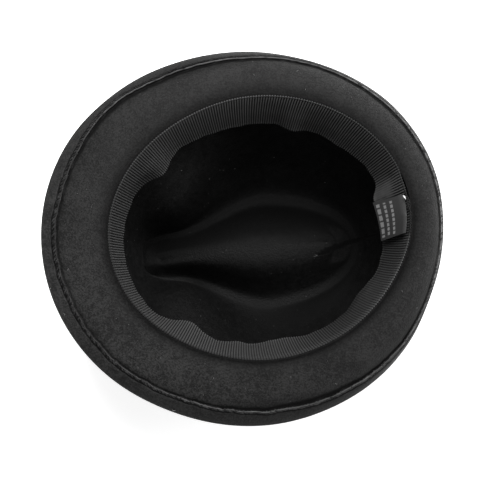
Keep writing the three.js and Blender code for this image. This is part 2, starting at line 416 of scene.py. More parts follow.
@dataclass(frozen=True)
class FeltFinish:
    """Pressed black felt with a short nap, blotchy where the nap lies differently, and a few light fibres.

    It may have a sharp crease, given as places on the hat, each with its half width. Its colour also holds painted
    light and shade: a darker copy of the felt on the crown's inner face for the shade in the hollow, painted glints
    on lit cut edges, painted shade in seams and in the crease, and a tone of painted light and shade, with some wear
    on the crown's ridge.
    """

    name: str
    deep: float = 0.005
    worn: float = 0.019
    cut: float = 0.1
    inside: float = 0.0028
    gloss: float = 0.15
    roughness: float = 0.62
    crease: Tables = ()
    crease_depth: float = 0.96

    def crease_line(self, paint: Paint, where: Wire) -> Wire:
        """Draws the crease.

        Args:
            paint: The material.
            where: The place on the hat.

        Returns:
            How deep a point lies in the crease, from 0 to 1.
        """
        flat = paint.vector("MULTIPLY", where, (1.0, 1.0, 0.0))
        clamped = {"operation": "MULTIPLY", "use_clamp": True}
        nearest: Wire | None = None
        for (x0, y0, half_width), (x1, y1, _) in zip(self.crease, self.crease[1:]):
            span = Vector((x1 - x0, y1 - y0, 0.0))
            from_start = paint.vector("SUBTRACT", flat, (x0, y0, 0.0))
            dot = paint.vector("DOT_PRODUCT", from_start, tuple(span))
            share = paint.node("ShaderNodeMath", clamped, dot, 1 / span.length_squared)
            foot = paint.vector("SCALE", tuple(span), Scale=share)
            away = paint.vector("DISTANCE", from_start, foot) * (1 / half_width)
            nearest = away if nearest is None else nearest.least(away)
        return (nearest + paint.noise(where, 0.0022, 2.0) * 1.6).between(2.1, 1.2)

    def make(self) -> bpy.types.Material:
        """Makes the material.

        Returns:
            The material.
        """
        paint = Paint(self.name)
        where = paint.place()
        nap = paint.noise(where, 0.0012, 3.0, 0.7) - 0.5
        clumps = paint.noise(where, 0.0045, 3.0, 0.6) - 0.5
        blotches = paint.noise(where, 0.024, 2.0, 0.5) - 0.5
        fibres = paint.specks(where, 0.00045, 0.006) * paint.noise(where, 0.03).between(0.4, 0.62)
        share = (nap * 3.1 + clumps * 1.4 + blotches * 0.85 + 0.45).between(0.0, 1.0)
        colour = paint.blend(share, grey(self.deep, 0.006), grey(self.worn, 0.006))
        # Painted shade: the crown's inner face takes this darker copy of the felt, for the shade in the hollow.
        hollow = paint.blend(share, grey(self.inside * 0.4), grey(self.inside * 1.3))
        colour = paint.blend(paint.attribute("inside"), colour, hollow)
        # Painted glint: cut edges take a lighter grey where the light catches their faces.
        colour = paint.blend(paint.attribute("cut_edge") * 0.9, colour, grey(self.cut))
        colour = paint.blend(fibres * 0.5, colour, grey(0.16))
        colour = paint.blend(paint.attribute("shade") * 0.92, colour, grey(0.0006))
        # The tone scales the colour with painted light and shade, and on the crown also with wear.
        tone = paint.attribute("tone")
        colour = paint.vector("SCALE", colour, Scale=tone)
        dull = (1.0 - tone).between(0.0, 1.0) * 0.34 + paint.attribute("shade") * 0.3
        height = nap * 0.6 + clumps * 0.4
        if self.crease:
            # Painted shade: the crease is drawn near-black as well as sunk by the bump.
            crease = self.crease_line(paint, where) * paint.attribute("hollow_side")
            colour = paint.blend(crease * self.crease_depth, colour, grey(0.0008))
            height = height - crease * (0.3 * self.crease_depth)
            dull = dull + crease * 0.4
        paint.set(Base_Color=colour, Roughness=nap * 0.12 + clumps * 0.22 + dull + self.roughness)
        paint.set(Normal=paint.bumps(height, 0.0008), Specular_IOR_Level=self.gloss)
        return paint.material


@dataclass(frozen=True)
class RibbonFinish:
    """Ribbed grosgrain ribbon: a fine warp runs across its ribs, and they shine a little."""

    name: str
    base: float = 0.0004
    crest: float = 0.042
    shine: float = 0.28

    def make(self) -> bpy.types.Material:
        """Makes the material.

        Returns:
            The material.
        """
        paint = Paint(self.name)
        where = paint.cloth_map("cloth")
        rib = paint.attribute("rib")
        threads = paint.node("ShaderNodeTexWave", {"bands_direction": "Y"}, where, Scale=340.0, Distortion=0.5)
        uneven = paint.noise(where, 0.004, 3.0)
        # Painted light and shade: rib crests take a lighter colour and the hollows between them a darker one.
        share = (rib * 1.9 + threads * 0.12 + uneven * 0.5 - 0.95).between(0.0, 1.0)
        colour = paint.blend(share, grey(self.base), grey(self.crest))
        # The ribbon's edges are lighter, with painted glints.
        colour = paint.blend(paint.attribute("cut_edge"), colour, grey(0.085))
        # The tone holds painted light and shade.
        tone = paint.attribute("tone")
        colour = paint.vector("SCALE", colour, Scale=tone)
        paint.set(Base_Color=colour, Roughness=0.32 + rib * 0.06 + uneven * 0.12 + tone * 0.25)
        paint.set(Normal=paint.bumps(threads * 0.6 + uneven * 0.4, 0.00012))
        paint.set(Sheen_Weight=0.04, Sheen_Roughness=0.4, Specular_IOR_Level=self.shine)
        return paint.material


@dataclass(frozen=True)
class LabelFinish:
    """Black satin with three rows of plain pale woven bars."""

    name: str = "black_satin"
    rows: Tables = (
        (0.0033, 0.0029, 0.0043, 0.17),
        (0.0087, 0.0021, 0.0029, 0.2),
        (0.0141, 0.0021, 0.0029, 0.2),
    )

    def make(self) -> bpy.types.Material:
        """Makes the material.

        Returns:
            The material.
        """
        paint = Paint(self.name)
        where = paint.cloth_map("cloth")
        along = paint.node("ShaderNodeSeparateXYZ", {}, where, out=0)
        across = paint.node("ShaderNodeSeparateXYZ", {}, where, out=1)
        weave = paint.noise(where, 0.0005, 2.0)
        bars: Wire | None = None
        for place, height, pitch, gap in self.rows:
            uneven = paint.noise(where, 0.0011, 1.0) * 0.0008 - 0.0004
            line = (across - place + uneven).size().between(height * 0.55, height * 0.45)
            step = (along * (1 / pitch) + place * 40).wrapped()
            bar = line * (step - 0.5).size().between(0.5 - gap * 0.4, 0.5 - gap)
            bars = bar if bars is None else bars + bar
        margin = along.between(0.0015, 0.0021) * along.between(0.0238, 0.0232)
        colour = paint.blend(weave, grey(0.015), grey(0.027))
        colour = paint.blend(bars * margin * 0.85, colour, grey(0.2))
        rubbed = along.between(0.011, 0.015) * across.between(0.0195, 0.0225) * 0.45
        paint.set(Base_Color=colour, Roughness=0.3 + weave * 0.14 + rubbed, Normal=paint.bumps(weave, 0.00006))
        paint.set(Sheen_Weight=0.05, Specular_IOR_Level=0.6)
        return paint.material


@dataclass(frozen=True)
class ThreadFinish:
    """Twisted sewing thread or a loose fibre."""

    name: str
    dark: float
    light: float

    def make(self) -> bpy.types.Material:
        """Makes the material.

        Returns:
            The material.
        """
        paint = Paint(self.name)
        where = paint.place()
        twist = paint.noise(where, 0.0006, 2.0)
        paint.set(Base_Color=paint.blend(twist, grey(self.dark), grey(self.light)), Roughness=0.5 + twist * 0.2)
        paint.set(Normal=paint.bumps(twist, 0.0001), Sheen_Weight=0.2)
        return paint.material


@dataclass(frozen=True)
class WhippingFinish:
    """Twisted black yarn over a raw felt edge. It is paler where the light catches its top, at the hat's sides."""

    name: str = "whipping_yarn"
    deep: float = 0.001
    worn: float = 0.042

    def make(self) -> bpy.types.Material:
        """Makes the material.

        Returns:
            The material.
        """
        paint = Paint(self.name)
        where = paint.place()
        twist = paint.noise(where, 0.0007, 3.0, 0.7)
        clumps = paint.noise(where, 0.006, 2.0)
        # The tone holds painted light and shade on the yarn.
        share = (twist * 2.8 + clumps * 1.8 - 1.8).between(0.0, 1.0) * paint.attribute("tone")
        paint.set(Base_Color=paint.blend(share, grey(self.deep), grey(self.worn)), Roughness=twist * 0.2 + 0.6)
        paint.set(Normal=paint.bumps(twist, 0.0004), Specular_IOR_Level=0.12)
        return paint.material


@dataclass(frozen=True)
class FloorFinish:
    """A white table top that is lit from below."""

    name: str = "white_table"
    glow: float = 0.68

    def make(self) -> bpy.types.Material:
        """Makes the material.

        Returns:
            The material.
        """
        paint = Paint(self.name)
        cloud = paint.noise(paint.place(), 0.4)
        paint.set(Base_Color=paint.blend(cloud, grey(0.93), grey(0.95)), Roughness=0.8)
        paint.set(Specular_IOR_Level=0.1, Emission_Color=(1, 1, 1, 1), Emission_Strength=self.glow)
        return paint.material


# Blanks: what every mesh starts as.


def nothing_selected() -> None:
    """Leaves edit mode and deselects everything."""
    if bpy.context.object and bpy.context.object.mode != "OBJECT":
        bpy.ops.object.mode_set(mode="OBJECT")
    bpy.ops.object.select_all(action="DESELECT")


def coordinates(piece: bpy.types.Object) -> Points:
    """The points of a piece's mesh.

    Args:
        piece: The piece.

    Returns:
        The points, one in each row.
    """
    flat = np.empty(len(piece.data.vertices) * 3, np.float32)
    piece.data.vertices.foreach_get("co", flat)
    return flat.reshape(-1, 3).astype(float)


def press(piece: bpy.types.Object, points: Points) -> None:
    """Moves the points of a piece's mesh to where the block presses them."""
    piece.data.vertices.foreach_set("co", np.ascontiguousarray(points, np.float32).ravel())
    piece.data.update()


def blank(name: str) -> tuple[bpy.types.Object, Points]:
    """Leaves edit mode and names the primitive that was added last.

    Args:
        name: The piece's name.

    Returns:
        The piece and its points.
    """
    bpy.ops.object.mode_set(mode="OBJECT")
    piece = bpy.context.object
    piece.name = piece.data.name = name
    return piece, coordinates(piece)


def tube_blank(name: str, columns: int, rows: int) -> tuple[bpy.types.Object, Points, Points]:
    """A tube of square faces, from a circle that is extruded row by row.

    Args:
        name: The piece's name.
        columns: How many faces go round.
        rows: How many rings of points there are.

    Returns:
        The piece, and the angle and the row of each of its points.
    """
    nothing_selected()
    bpy.ops.mesh.primitive_circle_add(vertices=columns, radius=1, fill_type="NOTHING")
    bpy.ops.object.mode_set(mode="EDIT")
    bpy.ops.mesh.select_all(action="SELECT")
    for _ in range(rows - 1):
        bpy.ops.mesh.extrude_edges_move(TRANSFORM_OT_translate={"value": (0, 0, 1)})
    piece, points = blank(name)
    return piece, np.arctan2(points[:, 1], points[:, 0]), np.rint(points[:, 2]).astype(int)


def ring_blank(name: str, columns: int, rows: int) -> tuple[bpy.types.Object, Points, Points]:
    """A closed ring with a section of many points, from a torus.

    Args:
        name: The piece's name.
        columns: How many sections go round.
        rows: How many points a section has.

    Returns:
        The piece, and the angle and the place in the section of each of its points.
    """
    nothing_selected()
    sizes = {"major_radius": 1, "minor_radius": 0.25}
    bpy.ops.mesh.primitive_torus_add(major_segments=columns, minor_segments=rows, **sizes)
    piece, points = blank(name)
    out = np.hypot(points[:, 0], points[:, 1]) - 1
    turn = np.arctan2(points[:, 2], out) / (2 * math.pi) * rows
    return piece, np.arctan2(points[:, 1], points[:, 0]), np.rint(turn).astype(int) % rows


def strip_blank(name: str, columns: int, rows: int) -> tuple[bpy.types.Object, Points, Points]:
    """A flat strip of cloth, from a grid.

    Args:
        name: The piece's name.
        columns: How many faces it is long.
        rows: How many faces it is wide.

    Returns:
        The piece, and how far along and across it each of its points lies, as shares.
    """
    nothing_selected()
    bpy.ops.mesh.primitive_grid_add(x_subdivisions=columns, y_subdivisions=rows, size=2)
    piece, points = blank(name)
    return piece, (points[:, 0] + 1) / 2, (points[:, 1] + 1) / 2


def face_towards(piece: bpy.types.Object, point: Vector, direction: Vector) -> None:
    """Turns a piece's faces over if those nearest to a point look away from a direction.

    Args:
        piece: The piece.
        point: The point.
        direction: Where the faces there should look.
    """
    centres = np.array([face.center for face in piece.data.polygons])
    nearest = np.argsort(np.linalg.norm(centres - np.array(point), axis=1))[:12]
    side = sum(piece.data.polygons[int(i)].normal.dot(direction) for i in nearest)
    if side < 0:
        piece.data.flip_normals()


def finish_mesh(piece: bpy.types.Object, thickness: float = 0.0, levels: int = 0, smooth: float = 60.0) -> None:
    """Gives a pressed piece its thickness and smoothness.

    Args:
        piece: The piece.
        thickness: How thick its cloth grows behind its faces, or 0.
        levels: How often its faces are parted in four.
        smooth: Edges sharper than this, in degrees, stay sharp.
    """
    nothing_selected()
    bpy.context.view_layer.objects.active = piece
    piece.select_set(True)
    if thickness:
        wall = piece.modifiers.new("thickness", "SOLIDIFY")
        wall.thickness = thickness
        wall.offset = -1
        wall.use_even_offset = False
        bpy.ops.object.modifier_apply(modifier=wall.name)
    if levels:
        fine = piece.modifiers.new("fine", "SUBSURF")
        fine.levels = fine.render_levels = levels
        bpy.ops.object.modifier_apply(modifier=fine.name)
    bpy.ops.object.shade_smooth_by_angle(angle=math.radians(smooth))
    nothing_selected()


def merge_doubles(piece: bpy.types.Object, threshold: float) -> None:
    """Merges points that lie close together, and turns the faces outwards.

    Args:
        piece: The piece.
        threshold: How far apart merged points lie at most.
    """
    nothing_selected()
    bpy.context.view_layer.objects.active = piece
    piece.select_set(True)
    bpy.ops.object.mode_set(mode="EDIT")
    bpy.ops.mesh.select_all(action="SELECT")
    bpy.ops.mesh.remove_doubles(threshold=threshold)
    bpy.ops.mesh.normals_make_consistent(inside=False)
    bpy.ops.object.mode_set(mode="OBJECT")


def mark(piece: bpy.types.Object, name: str, values: Points) -> None:
    """Writes a number at each point of a mesh, for its finish to read."""
    attribute = piece.data.attributes.new(name, "FLOAT", "POINT")
    attribute.data.foreach_set("value", np.ascontiguousarray(values, np.float32))


def lay_cloth_map(piece: bpy.types.Object, along: Points, across: Points) -> None:
    """Writes a cloth map, in metres.

    Args:
        piece: The piece.
        along: How far along the cloth each point lies.
        across: How far across the cloth each point lies.
    """
    layer = piece.data.uv_layers.get("cloth") or piece.data.uv_layers.new(name="cloth")
    corners = np.empty(len(piece.data.loops), np.int32)
    piece.data.loops.foreach_get("vertex_index", corners)
    both = np.stack([along[corners], across[corners]], -1)
    layer.data.foreach_set("uv", np.ascontiguousarray(both, np.float32).ravel())
    layer.active = True


def dress(piece: bpy.types.Object, material: bpy.types.Material, slot: Slot, *nodes: str) -> None:
    """Gives a finished piece its material and its place in the frame.

    Args:
        piece: The piece.
        material: Its material.
        slot: Not used.
        *nodes: The solids that it stands for.
    """
    piece.data.materials.clear()
    piece.data.materials.append(material)
    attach(piece, "root")
    if nodes:
        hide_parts(*nodes)
    log.info("%s: %d faces", piece.name, len(piece.data.polygons))


@dataclass
class Crown:
    """The felt shell with its dent, the level ridge round it and the two pinches at the front."""

    oval: HeadOval
    felt: float = 0.002
    wall_out: float = 0.0013
    cut_edge: float = 0.099
    band_foot: float = 0.074
    band_lean: float = 0.0022
    crest_front: float = -0.0835
    crest_back: float = 0.0695
    neck: float = 0.017
    body: float = 0.0405
    widens: tuple[float, float] = (-0.062, 0.008)
    squareness: tuple[float, float] = (4.0, 2.1)
    spine: tuple[float, float] = (-0.012, 0.058)
    spine_offset: tuple[float, float] = (-0.001, 0.035)
    dent: tuple[float, float, float] = (0.022, 0.002, 0.088)
    saddle: tuple[float, float] = (0.0062, 12.0)
    pinches: Patches = ((0.95, 132.0, 18.0), (0.95, 233.0, 17.0))
    wall_down: Table = (0.14, 0.3, 0.46, 0.62, 0.77, 0.89, 0.965, 1.0)
    wall_dome: Table = (0.965, 0.887, 0.779, 0.64, 0.472, 0.295, 0.15, 0.035)
    wall_pinched: Table = (0.93, 0.74, 0.47, 0.25, 0.14, 0.08, 0.055, 0.035)
    dent_out: Table = (1.0, 0.9, 0.79, 0.63, 0.47, 0.32, 0.15, 0.0)
    dent_rise: Table = (0.0, 0.0, 0.08, 0.36, 0.7, 0.91, 0.985, 1.0)
    crease: Tables = (
        (0.0930, 0.0050, 0.0008),
        (0.0860, 0.0055, 0.0010),
        (0.0813, 0.0052, 0.0014),
        (0.0755, 0.0040, 0.0019),
        (0.0673, 0.0001, 0.0021),
        (0.0620, -0.0020, 0.0020),
        (0.0579, -0.0036, 0.0017),
        (0.0542, -0.0052, 0.0010),
        (0.0515, -0.0062, 0.0006),
    )
    ridge_rows: tuple[Table, Table] = ((8.0, 10.0), (12.2, 13.2))
    ridge_wear_and_painted_light: Patches = ((0.7, 272, 36), (0.5, 215, 12), (0.6, 70, 36), (-0.3, 240, 7))
    painted_dent_shade: Patches = ((0.45, 75, 60), (0.15, 15, 30))
    painted_crown_light: Patches = (
        (-0.3, 0, 14, (15.5, 17.5)),
        (-0.6, 148, 17, (12.0, 12.7), (15.2, 16.4)),
        (-0.3, 95, 38, (12.6, 13.4), (16.0, 17.0)),
        (-0.16, 82, 42, (12.5, 13.1), (14.4, 15.6)),
        (2.0, 313, 17, (13.0, 13.9), (15.7, 16.8)),
        (-0.65, 300, 30, (6.4, 7.8), (9.5, 10.8)),
        (1.0, 195, 8, (9.8, 10.6), (14.0, 15.0)),
        (2.0, 58, 48, None, (7.5, 8.8)),
        (2.6, 180, 15, None, (8.5, 10.5)),
        (-0.2, 180, 15, (11.5, 13.5)),
        (1.5, 127, 13, (2.6, 3.6), (5.2, 6.2)),
    )
    columns: int = 240
    parts: int = 2

    def crest(self, angle: Points) -> Points:
        """The line that the ridge follows. At the front it rises to the dent, in a saddle.

        Args:
            angle: Angles in radians.

        Returns:
            Its points.
        """
        middle = (self.crest_front + self.crest_back) / 2
        share = np.cos(angle)
        x = middle + (self.crest_back - self.crest_front) / 2 * share
        half_width = self.neck + (self.body - self.neck) * ease(x, *self.widens)
        power = np.where(share < 0, *self.squareness)
        side = np.clip(1 - np.abs(share) ** power, 0, 1) ** (1 / power)
        y = half_width * side * np.sign(np.sin(angle))
        lift, spread = self.saddle
        z = self.felt + lift * bell(angle, 180, spread)
        return np.stack([x + self.oval.centre[0], y + self.oval.centre[1], z], -1)

    def ridge_of_dent(self, angle: Points) -> Points:
        """The line along the middle of the dent.

        Args:
            angle: Angles in radians.

        Returns:
            Its points.
        """
        x = self.spine[0] + self.spine[1] * np.cos(angle)
        depth, deepest, fades = self.dent
        height = self.felt + depth * (1 - ((x - deepest) / fades) ** 2)
        y = self.spine_offset[0] + self.spine_offset[1] * x
        return np.stack([x + self.oval.centre[0], y + self.oval.centre[1], height], -1)

    def inside(self, angle: Points) -> Points:
        """The felt's inner face.

        Args:
            angle: Angles in radians, one for each column.

        Returns:
            Rows from the cut edge down the wall, over the crest and up to the middle of the dent.
        """
        pinched = patches(angle, self.pinches)
        crest, spine = self.crest(angle), self.ridge_of_dent(angle)
        foot = self.oval.beside(angle, self.wall_out - self.band_lean, self.band_foot)
        rows = [
            self.oval.beside(
                angle,
                self.wall_out - self.band_lean * share,
                self.cut_edge + (self.band_foot - self.cut_edge) * share,
            )
            for share in (0.0, 0.5, 1.0)
        ]
        for down, dome, drawn_in in zip(self.wall_down, self.wall_dome, self.wall_pinched):
            left = dome + (drawn_in - dome) * pinched
            row = crest + (foot - crest) * left[:, None]
            row[:, 2] = self.band_foot + (crest[:, 2] - self.band_foot) * down
            rows.append(row)
        for out, rise in zip(self.dent_out, self.dent_rise):
            row = spine + (crest - spine) * out
            at_front = rise + (1 - out**2.2 - rise) * 0.85 * bell(angle, 180, 24)
            row[:, 2] = crest[:, 2] + (spine[:, 2] - crest[:, 2]) * at_front
            rows.append(row)
        return np.stack(rows)

    def tone(self, angle: Points, row: Points) -> Points:
        """How light the felt is, about 1, from wear and from painted light and shade.

        Args:
            angle: Angles in radians.
            row: Rows of the section, from the cut edge to the middle of the dent.

        Returns:
            The tone at each point. The ridge that the hat is set down on is worn, more on one side, and the tone also
            holds painted shade over the ridge and in the dent and painted light on the walls.
        """
        rises, falls = self.ridge_rows
        on_ridge = ease(row, *rises) * (1 - ease(row, *falls))
        worn = np.minimum(0.3 + patches(angle, self.ridge_wear_and_painted_light), 1.0)
        in_dent = ease(row, 12.5, 13.2) * (1 - 0.6 * ease(row, 16.4, 18.0))
        # Wear and painted light and shade over the ridge, painted shade in the dent, and painted light and shade on
        # the walls.
        tone = 1 + (worn - 1) * on_ridge - patches(angle, self.painted_dent_shade) * in_dent
        return tone + patches(angle, self.painted_crown_light, row)

    def build(self) -> None:
        """Models the crown and dresses it."""
        fine = finer(self.inside(even_angles(self.columns)), self.parts)
        fine[..., 2] = np.maximum(fine[..., 2], self.felt + 0.0001)
        piece, angle, row = tube_blank("felt_crown", self.columns, len(fine))
        points = fine[row, nearest_column(angle, self.columns)]
        press(piece, points)
        mark(piece, "tone", self.tone(angle, row / self.parts))
        merge_doubles(piece, 0.0003)
        face_towards(piece, Vector((self.oval.centre[0], 0.0, 0.03)), Vector((0, 0, 1)))
        finish_mesh(piece, thickness=self.felt, levels=1)
        settled = coordinates(piece)
        settled[:, 2] = np.maximum(settled[:, 2], 0.0)
        press(piece, settled)
        facing = np.empty(len(settled) * 3, np.float32)
        piece.data.vertex_normals.foreach_get("vector", facing)
        facing = facing.reshape(-1, 3)
        from_middle = settled - np.array([*self.oval.centre, 0.06])
        outside = (facing * from_middle).sum(1) / np.linalg.norm(from_middle, axis=1)
        inside = 1 - ease(outside, -0.05, 0.05)
        seen = np.maximum(inside, ease(facing[:, 2], -0.05, 0.05))
        # Marks the inner faces for their painted shade.
        mark(piece, "inside", inside)
        mark(piece, "hollow_side", seen)
        # Keeps the tone's painted light and shade to the faces seen from the hollow.
        tone, tones = np.empty(len(settled), np.float32), piece.data.attributes["tone"].data
        tones.foreach_get("value", tone)
        tones.foreach_set("value", np.ascontiguousarray(1 + (tone - 1) * seen, np.float32))
        dress(piece, FeltFinish(name="crown_felt", crease=self.crease).make(), Slot.CROWN, "crown")


@dataclass
class Brim:
    """The brim, with its edge folded back over the underside and whipped down along its raw edge.

    Its tables of patches paint light and shade on it by where the light falls, as seen in the photograph: painted
    shade by the sweatband, under the fold and along a press mark, and painted light on the felt, the fold and the raw
    edge.
    """

    oval: HeadOval
    felt: float = 0.002
    width: Table = (0.0365, 0.0403, 0.0443, 0.0505, 0.0468, 0.0459, 0.046, 0.0466)
    slope: Table = (101.0, 83.0, 63.0, 41.0, 25.0, 32.0, 54.0, 91.0)
    seam: Table = (0.0016, 0.0016, 0.0022, 0.0024, 0.0028, 0.0022, 0.0019, 0.0022)
    spread: Table = millimetres(
        *(0.72, 1.6, 1.15, 1.05, 0.4, 0.0, 0.6, 0.7, 0.4, -0.3, 0.28, 0.38),
        *(0.1, 0.0, 0.0, 0.45, 0.45, 0.7, 0.75, 0.6, 1.2, 1.15, 0.45, 0.7),
    )
    seam_out: Table = millimetres(
        *(2.7, 2.1, 1.6, 1.3, 2.8, 3.6, 1.0, 0.8, 0.9, 3.7, 1.2, 0.5),
        *(1.9, 0.8, 0.9, 1.2, 0.9, 0.7, 0.7, 1.3, 0.9, 1.5, 2.8, 2.1),
    )
    gap: Table = millimetres(
        *(2.8, 2.2, 4.2, 4.4, 3.0, 2.2, 2.1, 3.2, 4.2, 4.4, 2.6, 1.8),
        *(1.3, 1.3, 1.1, 1.0, 1.1, 1.6, 2.8, 4.4, 2.6, 2.6, 3.0, 1.8),
    )
    gloom: Table = (
        *(0.7, 0.65, 1.0, 1.0, 1.0, 0.9, 0.9, 1.0, 1.0, 1.0, 0.95, 0.8),
        *(0.75, 0.5, 0.5, 0.8, 0.9, 1.0, 1.0, 1.0, 1.0, 1.0, 0.35, 0.0),
    )
    glint: Table = (
        *(1.0, 1.0, 1.0, 1.0, 0.8, 0.55, 1.0, 1.0, 1.0, 1.0, 0.4, 0.2),
        *(0.1, 0.1, 0.1, 0.25, 0.45, 0.65, 0.75, 0.6, 0.8, 0.85, 1.0, 1.0),
    )
    # Painted light and shade, in patches by where the light falls.
    painted_brim_shade: Patches = ((-0.12, 80, 40), (-0.1, 160, 35))
    painted_brim_light: Patches = ((0.34, 236, 36, (0.004, 0.01), (0.028, 0.034)),)
    lit: Patches = ((0.12, 275, 50, None, (0.003, 0.008)),)
    # Painted light: these patches lighten the felt where the light falls.
    worn: Patches = (
        (0.35, 212, 32, (0.013, 0.028)),
        (0.45, 45, 34, (0.014, 0.03)),
        (-0.04, -8, 22),
        (-0.35, 320, 16, (0.018, 0.026)),
    )
    painted_light_by_fold: Patches = ((0.35, 66, 13, (-0.009, -0.004)), (0.5, -1, 8, (-0.007, -0.003)))
    painted_shade_under_fold: Patches = ((0.4, 104, 13, (-0.011, -0.004)), (0.4, 276, 12, (-0.011, -0.004)))
    painted_light_on_fold: Patches = ((0.35, 180, 22), (-0.55, 294, 22), (-0.55, 104, 15), (-0.25, 238, 16), (2.6, 10, 26))
    painted_glint_on_raw_edge: Patches = ((0.5, 90, 12), (1.1, 12, 30))
    # Painted shade along the dent of a press mark.
    pressed: Patches = ((0.22, 132, 8),)
    press_line: Table = (0.0094, 0.0000142, 143.5, 0.0011)
    # Painted light on the whipping yarn, by angle.
    painted_yarn_light: Patches = ((-0.3, 202, 26), (0.4, 86, 10), (1.2, 355, 24))
    # Painted shade under the stitches, by angle.
    painted_shade_between_stitches: Patches = ((0.5, 195, 38), (-0.35, 5, 34))
    shown_at: Patches = ((1.0, 180, 45), (1.0, 90, 35))
    bare_edge: Table = (102, 24)
    loose_edge: Table = (195, 38)
    edge_waves: Waves = (
        (23, 0.00016, 0.4),
        (41, 0.00015, 2.1),
        (67, 0.00014, 4.0),
        (97, 0.00013, 1.2),
        (151, 0.00012, 0.2),
    )
    jog_at: float = 270.0
    beads: Waves = ((71, 0.15, 0.5), (113, 0.16, 2.0), (173, 0.14, 1.0), (241, 0.14, 3.0))
    dashes: Waves = ((37, 0.14, 1.5), (83, 0.18, 0.4), (137, 0.2, 2.2), (211, 0.2, 5.0))
    soft: Waves = ((5, 0.00012, 0.3), (9, 0.00012, 1.9), (17, 0.00008, 0.7))
    uneven_yarn: Waves = ((97, 0.3, 0.3), (157, 0.3, 2.0), (263, 0.25, 4.0))
    lower_round: Tables = ((0.0003, -0.93), (-0.0001, -0.7), (-0.0002, -0.3))
    upper_round: Tables = ((-0.0002, 0.25), (0.0001, 0.62), (0.0007, 0.88), (0.0016, 1.0))
    seam_lip: Tables = ((0.0007, 0.0001, 0.1), (0.0004, 0.0005, 1.0), (-0.0002, 0.0006, 1.0))
    raw_lip: Tables = ((0.0002, 0.97), (-0.0001, 0.6))
    under_lip: Tables = ((0.0004, 0.0003), (0.0003, -0.0001), (-0.0003, -0.0003))
    gap_rows: Tables = ((0.4, -0.0003, 1.0), (0.75, -0.0001, 0.5), (1.0, 0.0, 0.0))
    valley: Patches = ((1.0, -25, 30), (0.8, -85, 40))
    valley_depth: float = 0.0007
    first_slope: float = 3.0
    curl: float = 1.19
    wall_in: float = 0.0012
    foot: float = 0.0993
    corner: float = 0.0009
    fold: float = 0.0126
    fold_height: float = 0.0016
    stitch_pitch: float = 0.0025
    stitch_half: float = 0.0013
    stitch_lift: float = 0.00036
    stitch_slant: float = 0.003
    edge_radius: float = 0.126
    seed: int = 5
    columns: int = 960

    def fold_edge(self, angle: Points) -> Points:
        """Where the folded part's raw edge lies.

        Args:
            angle: Angles in radians.

        Returns:
            How far out over the felt from the head oval.
        """
        off = (np.degrees(angle) - self.jog_at + 180) % 360 - 180
        jog = -0.001 * np.tanh(off / 0.5) * np.exp(-((off / 3) ** 2)) + 0.0005 * np.exp(-(((off + 9) / 0.8) ** 2))
        line = around(self.width, angle) - self.fold + around(self.seam_out, angle)
        return line + ripple(angle, self.edge_waves) + jog

    def shown(self, angle: Points) -> Points:
        """How plainly the whipping shows, from 0.25 to 1. It sinks into the felt at the wearer's right."""
        return 0.25 + 0.75 * np.minimum(patches(angle, self.shown_at), 1.0)

    def underside(self, angle: Points, along: Points, height: Points) -> Points:
        """Points over the brim's underside.

        Args:
            angle: Angles in radians.
            along: How far out over the felt from the head oval.
            height: How far off the underside, away from the felt.

        Returns:
            The points.
        """
        width = around(self.width, angle)
        first = math.radians(self.first_slope)
        edge = np.radians(around(self.slope, angle))
        out, drop = 0.0, 0.0
        for step in range(CURVE_STEPS):
            share = np.maximum((step + 0.5) / CURVE_STEPS * along / width, 0)
            slope = first + (edge - first) * share**self.curl
            out = out + np.cos(slope) * along / CURVE_STEPS
            drop = drop + np.sin(slope) * along / CURVE_STEPS
        slope = first + (edge - first) * np.maximum(along / width, 0) ** self.curl
        out = out + np.sin(slope) * height + around(self.spread, angle) * np.maximum(along / width, 0) ** 1.5
        return self.oval.beside(angle, out, self.oval.height - drop + np.cos(slope) * height)

    def tone(self, angle: Points, along: Points, raw: Points) -> Points:
        """How light the felt is, about 1, in painted light and shade.

        Args:
            angle: Angles in radians.
            along: How far out over the felt from the head oval.
            raw: Where the folded part's raw edge lies.

        Returns:
            The tone at each point. The felt by the sweatband is the darkest, because no hand reaches it.
        """
        # Painted shade darkens the felt towards the sweatband, then patches of painted light and shade follow.
        share = np.clip(along / (0.018 - 0.005 * bell(angle, 185, 60)), 0, 1)
        brim_painted_light = 0.43 + 0.57 * (1 - (1 - share) ** 2 * (1 + 2 * share)) + patches(angle, self.lit, along)
        brim_painted_light = brim_painted_light * (1 + patches(angle, self.painted_brim_shade)) * (1 + patches(angle, self.painted_brim_light, along))
        past = along - raw
        # Painted light: lighter felt where the light falls.
        worn = patches(angle, self.worn, along) + patches(angle, self.painted_light_by_fold, past)
        # Painted shade along the dent of a press mark.
        start, bend, turn, half_width = self.press_line
        from_press = (along - start - bend * (np.degrees(angle) - turn) ** 2) / half_width
        pressed = np.exp(-(from_press**2)) * patches(angle, self.pressed)
        # Painted shade under the fold.
        felt = (brim_painted_light + worn - pressed) * (1 - patches(angle, self.painted_shade_under_fold, past))
        # Painted glint on the raw edge, and painted light and shade on the fold.
        edge = (1.15 + patches(angle, self.painted_glint_on_raw_edge) - felt) * 0.5 * ease(past, -0.001, 0.0)
        return felt + edge + felt * patches(angle, self.painted_light_on_fold) * ease(past, 0.0, 0.001)

